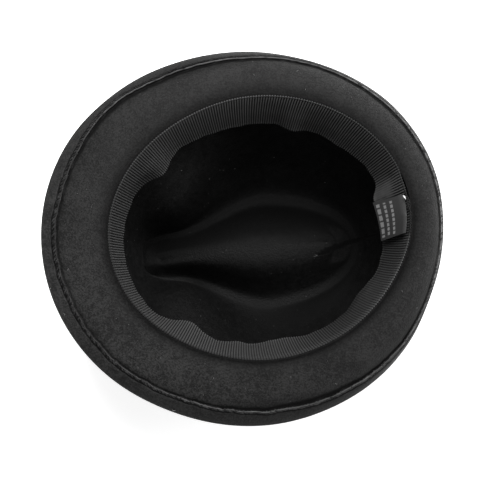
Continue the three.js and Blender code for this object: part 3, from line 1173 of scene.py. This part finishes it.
    def section(self, angle: Points) -> tuple[Points, Points, Points, Points]:
        """The brim's section at many angles.

        Args:
            angle: Angles in radians, one for each column.

        Returns:
            Rows of points, up the collar's outside, out along the upper side, over the fold, back in along the
            underside and down the collar's inside. With them, how much each point takes the painted glint of a lit
            cut edge, how deep it lies in a seam's painted shade, and its tone of painted light and shade.
        """
        width, raw, seam = around(self.width, angle), self.fold_edge(angle), around(self.seam, angle)
        glint, none = np.clip(around(self.glint, angle), 0, 1), np.zeros_like(angle)
        gap, gloom = around(self.gap, angle), np.clip(around(self.gloom, angle), 0, 1)
        # Painted glint along the raw edge, by angle round the hat.
        painted_raw_edge_glint = glint * (0.72 + ripple(angle, self.beads))
        dashes = 1 + ripple(angle, self.dashes)
        top, wall_out, flat = self.fold_height, self.wall_in + self.felt, self.wall_in + self.corner
        soft = ripple(angle, self.soft)
        rows: list[tuple[Points, Points, Points, Points]] = []

        def row(along: Points, height: Points, cut: Points = none, shade: Points = none) -> None:
            """Adds a row of points.

            Args:
                along: How far out over the felt from the head oval.
                height: How far off the underside.
                cut: How much it takes the painted glint of a lit cut edge.
                shade: How deep it lies in a seam's shade.
            """
            points = self.underside(angle, along + none, height + none)
            upper_side = float(np.mean(height)) < -0.4 * self.felt
            tone = none + 1.0 if upper_side else self.tone(angle, along + none, raw)
            rows.append((points, cut + none, shade + none, tone))

        def collar(out: float, height: float) -> None:
            """Adds a row of points beside the head oval."""
            # Painted shade: the collar beside the sweatband takes half tone.
            rows.append((self.oval.beside(angle, out, height), none, none, none + 0.5))

        collar(wall_out, self.foot)
        row(wall_out + 0.0001, -self.felt)
        for share in (0.2, 0.4, 0.6, 0.8, 1.0):
            row(wall_out + (raw - wall_out) * share, -self.felt)
        for share in (0.4, 0.75, 0.92):
            row(raw + (width - 0.0006 - raw) * share, -self.felt)
        for back, high in self.lower_round:
            row(width - back, high * self.felt)
        for back, high in self.upper_round:
            row(width - back, high * top)
        # Back in over the folded part, to the stitches that end in it.
        start, end = width - self.upper_round[-1][0], raw + seam + 0.0012
        for share in (0.25, 0.5, 0.75, 1.0):
            row(start + (end - start) * share, top + 0.0001 * math.sin(math.pi * share) + soft * 0.4)
        for away, deep, shade in self.seam_lip:
            row(raw + seam + away, top - deep, none, np.clip(shade * self.shown(angle) * dashes, 0, 1))
        bare = bell(angle, *self.bare_edge)
        # Painted shade under and between the stitches, deeper where the raw edge is left bare.
        sunk = 0.4 + patches(angle, self.painted_shade_between_stitches)
        row(raw + seam * 0.72, top - 0.0001, none, sunk)
        row(raw + seam * 0.5, top - 0.0001 - 0.0004 * bare, none, sunk + 0.6 * bare)
        row(raw + seam * 0.25, top - 0.0001, 0.8 * bare * painted_raw_edge_glint, (sunk + 0.6 * bare) * (1 - bare))
        # Down over the raw edge and into the gap under it.
        for away, high in self.raw_lip:
            row(raw + away, top * high, painted_raw_edge_glint, 0.0)
        for away, high in self.under_lip:
            row(raw + away, high, none, np.clip(gloom * (2 - dashes), 0, 1))
        inner = raw - 0.0003
        for share, high, shade in self.gap_rows:
            row(inner - gap * share, high, none, gloom * shade)
        # Along the underside to the corner by the sweatband, beside which it lies a little lower, in painted shade.
        lower = patches(angle, self.valley) + 0.35
        for share in np.linspace(0.95, 0.08, 11):
            along = flat + (inner - gap - flat) * share
            near = lower * np.exp(-(((along - flat - 0.001) / 0.0024) ** 2))
            row(along, soft * math.sin(math.pi * share) - self.valley_depth * near, none, 0.4 * near)
        row(flat + 0.0015, -self.valley_depth * lower, none, 0.4 * lower)
        row(flat + 0.0007, -self.valley_depth * lower * 0.6, none, 0.4 * lower)
        row(flat, 0.0, none, 0.5)
        for out, down in ((0.5, 0.16), (0.16, 0.5), (0.0, 1.0)):
            collar(self.wall_in + self.corner * out, self.oval.height - self.corner * down)
        collar(self.wall_in, self.foot)
        points, cut, shade, tone = (np.stack(part) for part in zip(*rows))
        return points, cut, shade, tone

    def build(self) -> None:
        """Models the brim and dresses it."""
        rows, *marks = self.section(even_angles(self.columns))
        piece, angle, row = ring_blank("felt_brim", self.columns, len(rows))
        column = nearest_column(angle, self.columns)
        press(piece, rows[row, column])
        for name, values in zip(("cut_edge", "shade", "tone"), marks):
            mark(piece, name, values[row, column])
        face_towards(piece, Vector((self.oval.centre[0], 0.105, 0.107)), Vector((0, 0, 1)))
        finish_mesh(piece, smooth=75)
        dress(piece, FeltFinish(name="brim_felt").make(), Slot.BRIM, "brim")

    def whipping(self) -> None:
        """Models the slanting stitches that hold the raw edge down."""
        chance = np.random.default_rng(self.seed)
        fine = np.linspace(0, 2 * math.pi, 4001)
        length = lengths(self.underside(fine, self.fold_edge(fine), self.fold_height))
        count = int(length[-1] / self.stitch_pitch)
        starts = np.interp(np.arange(count) / count * length[-1], length, fine)
        stitch, over, turn = strip_blank("edge_whipping", 7, 8)
        places = []
        taper, ring = np.sqrt(np.clip(np.sin(np.pi * over), 0, 1)), turn * 2 * math.pi
        ends = self.fold_height * (1 - 0.75 * ease(over, 0.72, 1.0)) - 0.0004 * (1 - ease(over, 0.0, 0.15))
        ends = ends + 0.0001 * np.sin(np.pi * over)
        for start in starts:
            jitter = chance.uniform(-1, 1, 4)
            loose = float(bell(start, *self.loose_edge))
            half = (self.stitch_half - 0.00045 * loose) * (1 + 0.25 * jitter[0]) * taper
            lift = (self.stitch_lift + 0.0002 * loose) * taper * np.sin(ring)
            slant = self.stitch_slant * (0.5 - over) * (1 + 0.3 * jitter[2]) + 0.0006 * jitter[1]
            angle = start + (slant + half * np.cos(ring)) / self.edge_radius
            seam = around(self.seam, angle) - 0.0003 + 0.0002 * jitter[2]
            reach = over * (1 - 0.38 * float(bell(start, *self.bare_edge)))
            out = self.fold_edge(start + 0 * angle) + seam * (1 - reach) - 0.0002 * reach + 0.00012 * jitter[3]
            sunk = 0.00045 * (1 - float(self.shown(start)))
            places.append(self.underside(angle, out, ends + lift - sunk))
        row = thread_row(stitch, places, WhippingFinish(), Slot.BRIM)
        from_middle = coordinates(row) - np.array([*self.oval.centre, 0.0])
        angle = np.arctan2(from_middle[:, 1], from_middle[:, 0])
        raw, seam = self.fold_edge(angle), around(self.seam, angle)
        inner = self.underside(angle, raw, self.fold_height)
        across = self.underside(angle, raw + seam, self.fold_height) - inner
        share = ((coordinates(row) - inner) * across).sum(1) / (across**2).sum(1)
        # Painted shade on the stitches where they leave the raw edge bare, and painted light by angle round the hat.
        painted_stitch_shade = 0.9 * bell(angle, *self.bare_edge) * (1 - ease(share, 0.4, 0.75))
        uneven = ripple(angle, self.uneven_yarn) * bell(angle, 195, 40)
        mark(row, "tone", (1 + patches(angle, self.painted_yarn_light)) * (1 - painted_stitch_shade) * (1 + uneven))


def thread_row(
    first: bpy.types.Object, places: list[Points], finish: ThreadFinish | WhippingFinish, slot: Slot
) -> bpy.types.Object:
    """Copies one modelled stitch or fibre to many places.

    Args:
        first: The first one. It becomes the whole row.
        places: The points of each copy.
        finish: What they are made of.
        slot: The record's slot, handed on to dress.

    Returns:
        The row as one piece.
    """
    copies = []
    for place in places[1:]:
        copy = first.copy()
        copy.data = first.data.copy()
        bpy.context.scene.collection.objects.link(copy)
        press(copy, place)
        copies.append(copy)
    press(first, places[0])
    nothing_selected()
    for piece in (first, *copies):
        piece.select_set(True)
    bpy.context.view_layer.objects.active = first
    bpy.ops.object.join()
    merge_doubles(first, 0.00001)
    finish_mesh(first, smooth=80)
    dress(first, finish.make(), slot)
    return first


@dataclass
class Ribs:
    """The ribs of a grosgrain ribbon."""

    pitch: float = 0.001745
    height: float = 0.0007
    faces: int = 6

    def strip(
        self, name: str, oval: HeadOval, lap: tuple[float, float], rows: int
    ) -> tuple[bpy.types.Object, Points, Points, Points, Points]:
        """A ribbon's flat strip, with its faces in step with the ribs.

        Args:
            name: The ribbon's name.
            oval: The head oval that it goes round.
            lap: Where it starts, and where it ends after a full turn, in degrees.
            rows: How many faces it is wide.

        Returns:
            The piece, and for each of its points the angle in radians, how far along the ribbon it lies, how far
            across it as a share, and how high a rib stands there, from 0 to 1.
        """
        fine = np.linspace(math.radians(lap[0]), math.radians(lap[1]) + 2 * math.pi, 6000)
        length = lengths(oval.line(fine))
        piece, share, across = strip_blank(name, int(length[-1] / self.pitch * self.faces), rows)
        along = share * length[-1]
        wave = np.abs(np.cos(along / self.pitch * math.pi)) ** 1.3
        return piece, np.interp(along, length, fine), along, across, wave


@dataclass
class Sweatband:
    """The ribbed ribbon sewn in along the head opening, its free edge leaning in and its end lapped at the back."""

    oval: HeadOval
    ribs: Ribs = field(default_factory=Ribs)
    width: float = 0.030
    thickness: float = 0.0008
    stands: float = 0.0006
    lean_front: float = 0.0058
    lean_back: float = 0.0104
    lap: tuple[float, float] = (3.0, 8.0)
    lap_rise: float = 0.001
    doubled: float = 20.0
    tooth: float = 0.00035
    ripples: Waves = ((31, 0.00016, 0.2), (53, 0.0001, 1.4))
    radius: float = 0.09
    slant: Table = (0.04, 0.108, 0.125, 0.068, -0.015, -0.107, -0.107, -0.1, -0.06, -0.055, -0.02, 0.02)
    bulges: Patches = (
        (0.0065, 13, 5),
        (0.0008, 26, 8),
        (0.002, 49, 8),
        (0.004, 72, 4),
        (0.008, 139, 6),
        (0.0072, 234, 6.5),
        (0.0018, 256, 4),
        (0.0032, 275, 7),
        (0.0024, 320, 6),
        (0.0034, 352, 8),
    )
    smoothed: Patches = ((0.95, 14, 4.2, (0.25, 0.6)), (0.6, 322, 13, (0.1, 0.4)), (0.5, 268, 13), (0.3, 110, 26))
    painted_edge_glints: Patches = ((2.0, 275, 50), (1.5, 322, 16), (2.5, 340, 12), (1.6, 130, 38))
    brightness: float = 1.2
    # Painted light and shade, in patches round the band by where the light falls.
    tones: tuple[Patches, ...] = (
        ((0.45, 95, 40), (-0.25, 265, 40), (-0.5, 325, 32), (-0.3, 353, 12), (-0.12, 335, 14)),
        ((0.9, 66, 38, None, (0.1, 0.45)), (-0.5, 66, 38, (0.5, 0.8))),
        ((0.55, 285, 55), (0.75, 345, 16), (-0.35, 217, 20)),
        ((0.8, 318, 24, None, (0.12, 0.32)), (-0.28, 265, 14)),
        ((-0.4, 316, 14, (0.8, 0.95)), (-0.3, 300, 12)),
        ((-0.15, 112, 15), (-0.4, 148, 8, (0.55, 0.8))),
    )

    def lean(self, angle: Points) -> Points:
        """How far the free edge leans in from the sewn edge.

        Args:
            angle: Angles in radians.

        Returns:
            The distance at each angle.
        """
        back = ease(np.cos(angle), -0.85, -0.1)
        base = self.lean_front + (self.lean_back - self.lean_front) * back
        return base + patches(angle, self.bulges)

    def surface(self, angle: Points, down: Points, inward: Points) -> Points:
        """Points over the ribbon's inner face.

        Args:
            angle: Angles in radians.
            down: How far from the sewn edge, over the ribbon.
            inward: How far off its face, towards the hollow.

        Returns:
            The points.
        """
        lean = self.lean(angle)
        share = down / self.width
        leant = lean * np.sign(share) * np.abs(share) ** 1.4
        fall = down * np.sqrt(1 - (lean / self.width) ** 2 * np.abs(share) ** 0.8)
        return self.oval.beside(angle, -leant - inward, self.oval.height + self.stands - fall)

    def build(self) -> None:
        """Models the sweatband and dresses it."""
        piece, angle, along, down_share, wave = self.ribs.strip("sweatband_ribbon", self.oval, self.lap, 15)
        degrees = np.degrees(angle)
        sewn = 1 - ease(down_share, 0.0, 0.05)
        smooth = np.clip(patches(angle, self.smoothed, down_share), 0, 1)
        rib = (wave * (1 - smooth) + 0.7 * smooth) * (1 - 0.7 * sewn)
        free = ease(down_share, 0.975, 1.0)
        first_layer = ease(degrees, 6.5, 9.0) * (1 - ease(degrees, self.doubled - 5, self.doubled + 2))
        raised = np.where(degrees < 180, first_layer, ease(degrees, 361.5, 364.0))
        toothed = self.tooth * (wave - 0.5) * np.where(down_share < 0.03, -1.0, np.where(down_share > 0.97, 1.0, 0.0))
        down = self.width * down_share + toothed
        dimple = 0.0014 * np.exp(-(((degrees - 19.5) / 2.6) ** 2) - ((down - 0.016) / 0.006) ** 2)
        off = self.ribs.height * (rib - 0.6) + self.lap_rise * raised - dimple - 0.0006 * (wave - 0.3) * sewn
        ripples = ripple(angle, self.ripples) * ease(down_share, 0.5, 1.0)
        turned = angle + around(self.slant, angle) * down / self.radius
        press(piece, self.surface(turned, down, off + ripples))
        by_label = ease(degrees % 360, 350.0, 353.0) + 1 - ease(degrees % 360, 9.0, 12.0)
        mark(piece, "rib", rib)
        # Painted glints on the sewn and free edges, brighter where the light catches them.
        painted_glint_scale = 1 + patches(angle, self.painted_edge_glints)
        mark(piece, "cut_edge", (sewn * 0.14 + free * 0.16) * wave * painted_glint_scale * (1 - by_label))
        # Painted light and shade in the tone, with painted shade at the sewn edge under the label.
        tone = self.brightness
        for table in self.tones:
            tone = tone * (1 + patches(angle, table, down_share))
        mark(piece, "tone", tone * (1 - 0.4 * by_label * (1 - ease(down_share, 0.04, 0.1))))
        lay_cloth_map(piece, along, self.width * down_share)
        face_towards(piece, Vector((self.oval.centre[0] - 0.09, self.oval.centre[1], 0.09)), Vector((1, 0, 0)))
        finish_mesh(piece, thickness=self.thickness, smooth=80)
        dress(piece, RibbonFinish("sweatband_grosgrain").make(), Slot.SWEATBAND, "sweatband")
        start, end, turn = self.oval.length_to(np.array([*np.radians(self.lap), 2 * math.pi]))


@dataclass
class Label:
    """A folded cloth loop, sewn in over the sweatband's lap, that stands off it at a slant."""

    oval: HeadOval
    span: tuple[float, float] = (-7.9, 9.6)
    wide: float = 0.0255
    length: float = 0.025
    second_layer: float = 0.06
    slant: tuple[float, float] = (58.0, 43.0)
    level_part: float = 0.0023
    skew: float = 0.0015
    below: float = 0.0012
    clear: float = 0.0018
    gap: float = 0.0005
    cloth: float = 0.00022
    thread: Tables = ((0.1040, 0.0150, 0.1086), (0.1053, 0.0122, 0.1086))
    thread_thickness: float = 0.0004

    def over(self, angle: Points, across: Points, reach: Points, height: Points) -> Points:
        """Points over the label.

        Args:
            angle: Angles in radians at the sewn end.
            across: How far across the label, from 0 to 1.
            reach: How far from the sewn end.
            height: How far off its middle face.

        Returns:
            The points.
        """
        out = self.oval.outward(np.array(math.radians(sum(self.span) / 2)))[:2]
        final = np.radians(self.slant[0] + (self.slant[1] - self.slant[0]) * across)
        inward, fall = 0.0, 0.0
        for step in range(CURVE_STEPS):
            slant = final * (0.12 + 0.88 * ease((step + 0.5) / CURVE_STEPS * reach, 0.0, self.level_part))
            inward = inward + np.cos(slant) * reach / CURVE_STEPS
            fall = fall + np.sin(slant) * reach / CURVE_STEPS
        slant = final * (0.12 + 0.88 * ease(reach, 0.0, self.level_part))
        inward = inward + np.sin(slant) * height
        points = self.oval.beside(angle, -self.clear, self.oval.height - self.below)
        points[:, :2] -= out * inward[:, None]
        points[:, 1] -= self.skew * reach / self.length
        points[:, 2] += np.cos(slant) * height - fall
        return points

    def build(self) -> None:
        """Models the label and dresses it."""
        piece, along, across = strip_blank("folded_label", 72, 28)
        first, last = (math.radians(degrees) for degrees in self.span)
        angle = first + (last - first) * across
        upper = along < 0.5
        share = np.where(upper, along * 2, 2 - along * 2)
        reach = self.length * np.sin(np.minimum(share, 1) * math.pi / 2) ** 0.9
        near_fold = ease(share, 0.9, 1.0)
        lift = np.where(upper, 1.0, 0.0) * (1 - near_fold) + 0.5 * near_fold
        bow = 0.0003 * np.sin(math.pi * across) * (reach / self.length)
        height = 0.0001 + self.gap * lift * (0.4 + 0.6 * reach / self.length) + bow
        press(piece, self.over(angle, across, reach, height))
        lay_cloth_map(piece, across * self.wide, np.where(upper, self.length - reach, self.second_layer + reach))
        face_towards(piece, Vector((0.094, 0.003, 0.1)), Vector((0, 0, 1)))
        finish_mesh(piece, thickness=self.cloth, smooth=80)
        dress(piece, LabelFinish().make(), Slot.LABEL, "label")

    def thread_end(self) -> None:
        """Models the short end of white sewing thread that is left at the label's upper sewn corner."""
        end, along, turn = strip_blank("sewing_thread_end", 8, 8)
        ring = turn * 2 * math.pi
        first, last = np.array(self.thread[0]), np.array(self.thread[1])
        places = []
        for side, size in ((-1, 1.0), (1, 0.8)):
            middle = first + (last - first) * along[:, None] * size
            middle[:, 0] += side * 0.0003 * np.sin(along * math.pi)
            middle[:, 2] += 0.0005 * np.sin(along * math.pi)
            thick = self.thread_thickness * np.sqrt(np.clip(1.02 - (2 * along - 1) ** 4, 0, 1))
            offset = np.stack([np.cos(ring), 0 * ring, np.sin(ring)], -1) * thick[:, None]
            places.append(middle + offset)
        thread_row(end, places, ThreadFinish("white_thread", 0.45, 0.8), Slot.LABEL)


@dataclass
class HatBand:
    """The plain ribbon round the outside of the crown, with its ends lapped on the wearer's left."""

    oval: HeadOval
    ribs: Ribs = field(default_factory=lambda: Ribs(pitch=0.0021, height=0.00035, faces=4))
    width: float = 0.028
    thickness: float = 0.0009
    below: float = 0.0028
    lap: tuple[float, float] = (84.0, 101.0)
    lap_rise: float = 0.001
    face: float = 0.0038
    lean: float = 0.0022
    straight: tuple[float, float] = (0.099, 0.074)

    def build(self) -> None:
        """Models the hat band and dresses it."""
        piece, angle, along, down, rib = self.ribs.strip("hat_band_ribbon", self.oval, self.lap, 10)
        edges = np.clip(1 - ease(down, 0.0, 0.06) + ease(down, 0.94, 1.0), 0, 1)
        z = self.oval.height - self.below - self.width * down
        lean = self.lean * np.clip((self.straight[0] - z) / (self.straight[0] - self.straight[1]), 0, 1)
        on_lap = self.lap_rise * ease(np.degrees(angle), 360 + 79, 360 + 83)
        out = self.face - lean + self.thickness + on_lap + self.ribs.height * (rib - 0.5) * (1 - 0.6 * edges)
        press(piece, self.oval.beside(angle, out, z))
        mark(piece, "rib", rib)
        mark(piece, "cut_edge", edges * 0.15)
        mark(piece, "tone", 1 + 0 * rib)
        lay_cloth_map(piece, along, self.width * down)
        face_towards(piece, Vector((self.oval.centre[0] - 0.1, self.oval.centre[1], 0.09)), Vector((-1, 0, 0)))
        finish_mesh(piece, thickness=self.thickness, smooth=80)
        dress(piece, RibbonFinish("hat_band_grosgrain").make(), Slot.HAT_BAND, "hat_band")


@dataclass
class Lint:
    """Pale fibres that have settled on the felt, some of them at places seen in the photograph."""

    brim: Brim
    count: int = 24
    seed: int = 11
    seen: Tables = (
        (241.8, 0.0436, 0.9, 0.0018),
        (53.8, 0.0146, 2.2, 0.0022),
        (73.5, 0.0230, 0.3, 0.0016),
        (193.5, 0.0440, 1.2, 0.0014),
        (201.2, 0.0422, 0.4, 0.0012),
        (189.8, 0.0296, 1.9, 0.0012),
    )
    thick: float = 0.00014
    thin: float = 0.00007
    radius: float = 0.115
    tuft_at: tuple[float, float, float] = (0.0491, -0.0072, 0.0222)
    tuft_fibres: int = 9
    tuft_thick: float = 0.00009

    def build(self) -> None:
        """Scatters the fibres over the brim and dresses them."""
        chance = np.random.default_rng(self.seed)
        fibre, along, turn = strip_blank("lint", 6, 3)
        places = []
        for index in range(self.count + len(self.seen)):
            angle = chance.uniform(0, 2 * math.pi)
            out = chance.uniform(0.006, 0.034)
            heading = chance.uniform(0, 2 * math.pi)
            size, curl = chance.uniform(0.0007, 0.0016), chance.uniform(-1.6, 1.6)
            if index < len(self.seen):
                degrees, out, heading, size = self.seen[index]
                angle = math.radians(degrees)
            bend = heading + curl * along
            move_along = size * along * np.cos(bend)
            move_out = size * along * np.sin(bend)
            thick = self.thick if index < len(self.seen) else self.thin
            ring = turn * 2 * math.pi
            where = angle + (move_along + thick * np.cos(ring)) / self.radius
            over_fold = ease(out + move_out, self.brim.fold_edge(where) - 0.0002, self.brim.fold_edge(where) + 0.0006)
            height = 0.0003 + self.brim.fold_height * over_fold + thick * np.sin(ring)
            places.append(self.brim.underside(where, out + move_out, height))
        thread_row(fibre, places, ThreadFinish("pale_lint", 0.12, 0.32), Slot.BRIM)

    def tuft(self) -> None:
        """Models the tuft of loose felt at the tip of the crown's crease."""
        chance = np.random.default_rng(self.seed)
        fibre, along, turn = strip_blank("felt_tuft", 6, 3)
        ring, places = turn * 2 * math.pi, []
        for _ in range(self.tuft_fibres):
            heading, size = math.radians(200 + chance.uniform(-40, 40)), chance.uniform(0.0012, 0.0026)
            bend = heading + chance.uniform(-1.2, 1.2) * along
            x = self.tuft_at[0] + chance.uniform(-0.0007, 0.0007) + size * (along - 0.5) * np.cos(bend)
            y = self.tuft_at[1] + chance.uniform(-0.0004, 0.0004) + size * (along - 0.5) * np.sin(bend)
            y = y + self.tuft_thick * np.cos(ring)
            z = self.tuft_at[2] + 0.0004 * along + self.tuft_thick * np.sin(ring)
            places.append(np.stack([x + 0 * z, y, z], -1))
        thread_row(fibre, places, ThreadFinish("felt_tuft", 0.02, 0.07), Slot.CROWN)


@dataclass
class Studio:
    """The white table, the soft lights and the camera."""

    oval: HeadOval
    distance: float = 0.9
    tilt: float = 10.08
    roll: float = -3.86
    focal_pixels: float = 1399.8
    picture: int = 480
    opening_at: tuple[float, float] = (260.1, 225.2)

    def table(self) -> None:
        """Lays the white table top."""
        nothing_selected()
        bpy.ops.mesh.primitive_plane_add(size=1, location=(0, 0, 0))
        table = bpy.context.object
        table.name = "table"
        bpy.ops.object.mode_set(mode="EDIT")
        bpy.ops.mesh.select_all(action="SELECT")
        bpy.ops.transform.resize(value=(6, 6, 1))
        bpy.ops.mesh.subdivide(number_cuts=3)
        bpy.ops.object.mode_set(mode="OBJECT")
        table.data.materials.append(FloorFinish().make())

    def light(self, name: str, place: tuple[float, float, float], size: float, power: float) -> None:
        """Hangs a square soft light that looks at the hat.

        Args:
            name: Its name.
            place: Where it hangs.
            size: How wide it is.
            power: Its power in watts.
        """
        data = bpy.data.lights.new(name, "AREA")
        data.shape = "SQUARE"
        data.size = size
        data.energy = power
        lamp = bpy.data.objects.new(name, data)
        bpy.context.scene.collection.objects.link(lamp)
        way = Vector((0.0, 0.0, 0.08)) - Vector(place)
        lamp.matrix_world = Matrix.Translation(place) @ way.to_track_quat("-Z", "Y").to_matrix().to_4x4()

    def lights(self) -> None:
        """Hangs the lights and sets the room's own light."""
        self.light("key", (0.08, 0.8, 1.45), 0.9, 38.0)
        self.light("fill", (1.3, 0.1, 1.05), 0.7, 11.0)
        world = bpy.data.worlds.new("room")
        world.use_nodes = True
        room = world.node_tree.nodes["Background"]
        room.inputs["Color"].default_value = (1, 1, 1, 1)
        room.inputs["Strength"].default_value = 0.38
        bpy.context.scene.world = world

    def camera(self) -> None:
        """Sets the camera up at the photograph's angle to the hat."""
        data = bpy.data.cameras.new("camera")
        data.sensor_width = 36
        data.lens = 36 * self.focal_pixels / self.picture
        data.shift_x = (self.picture / 2 - self.opening_at[0]) / self.picture
        data.shift_y = (self.opening_at[1] - self.picture / 2) / self.picture
        data.clip_start = 0.01
        camera = bpy.data.objects.new("camera", data)
        bpy.context.scene.collection.objects.link(camera)
        turn = Matrix.Rotation(math.radians(self.roll), 4, "Z") @ Matrix.Rotation(math.radians(self.tilt), 4, "X")
        target = Vector((*self.oval.centre, self.oval.height))
        camera.matrix_world = Matrix.Translation(target) @ turn @ Matrix.Translation((0, 0, self.distance))
        bpy.context.scene.camera = camera

    def build(self) -> None:
        """Sets up the whole studio."""
        self.table()
        self.lights()
        self.camera()
        view = bpy.context.scene.view_settings
        view.view_transform = "Standard"
        view.look = "None"


def corners(bounds: object) -> list[list[float]]:
    """A box's two corners as plain lists of numbers."""
    return [[float(value) for value in corner] for corner in bounds]


def main() -> None:
    """Builds the hat piece by piece."""
    logging.basicConfig(level=logging.INFO, format="%(name)s: %(message)s")
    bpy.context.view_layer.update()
    oval = HeadOval()
    Studio(oval).build()
    Crown(oval).build()
    brim = Brim(oval)
    brim.build()
    brim.whipping()
    Sweatband(oval).build()
    label = Label(oval)
    label.build()
    label.thread_end()
    HatBand(oval).build()
    lint = Lint(brim)
    lint.build()
    lint.tuft()


if __name__ == "__main__":
    main()
